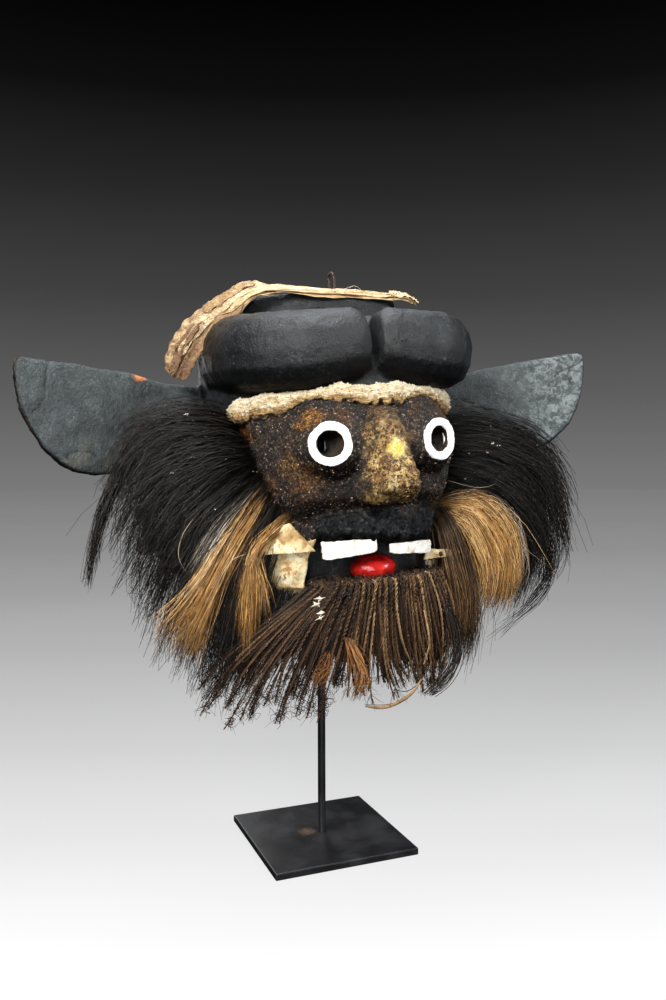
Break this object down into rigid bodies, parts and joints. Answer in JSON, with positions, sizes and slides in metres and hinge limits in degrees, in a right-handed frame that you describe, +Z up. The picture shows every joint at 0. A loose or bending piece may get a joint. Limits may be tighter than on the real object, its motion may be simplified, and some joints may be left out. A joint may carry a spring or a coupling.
{
  "type": "carved mask on stand",
  "caption": "Carved wooden face mask with rolled brow, ear blades, fur and a fibre beard, held on a steel rod with a square foot.",
  "frame": {"origin": "centre of the foot plate's underside, on the floor", "axes": "+Z up along the stand's rod, the mask faces -Y, +X towards the mask's own left side"},
  "size_m": [0.5871, 0.2725, 0.5808],
  "materials": {
    "black_wood": "satin",
    "black_steel": "satin",
    "black_fur": "matte",
    "tan_fur": "matte",
    "brown_fibre": "matte",
    "pale_hide": "matte",
    "pale_band": "matte",
    "dry_leaf": "matte",
    "white_paint": "satin",
    "red_paint": "gloss",
    "dark_iron": "satin"
  },
  "bodies": {
    "root": {"base_plate": "black_steel", "stand_rod": "black_steel", "carved_mask": "black_wood", "hanging_loop": "dark_iron", "crown_strip": "dry_leaf", "brow_band": "pale_band", "tooth_right": "white_paint", "tooth_left": "white_paint", "tongue": "red_paint", "hide_patch_right": "pale_hide", "hide_flap_right": "pale_hide", "hide_patch_left": "pale_hide", "hide_flap_left": "pale_hide", "tack_flap_right": "dark_iron", "tack_patch_outer": "dark_iron", "tack_patch_inner": "dark_iron", "tack_flap_left": "dark_iron", "tan_tuft_right_upper": "tan_fur", "tan_tuft_right_lower": "tan_fur", "tan_tuft_left": "tan_fur", "black_hair_right": "black_fur", "black_hair_left": "black_fur", "beard": "brown_fibre"}
  },
  "joints": []
}
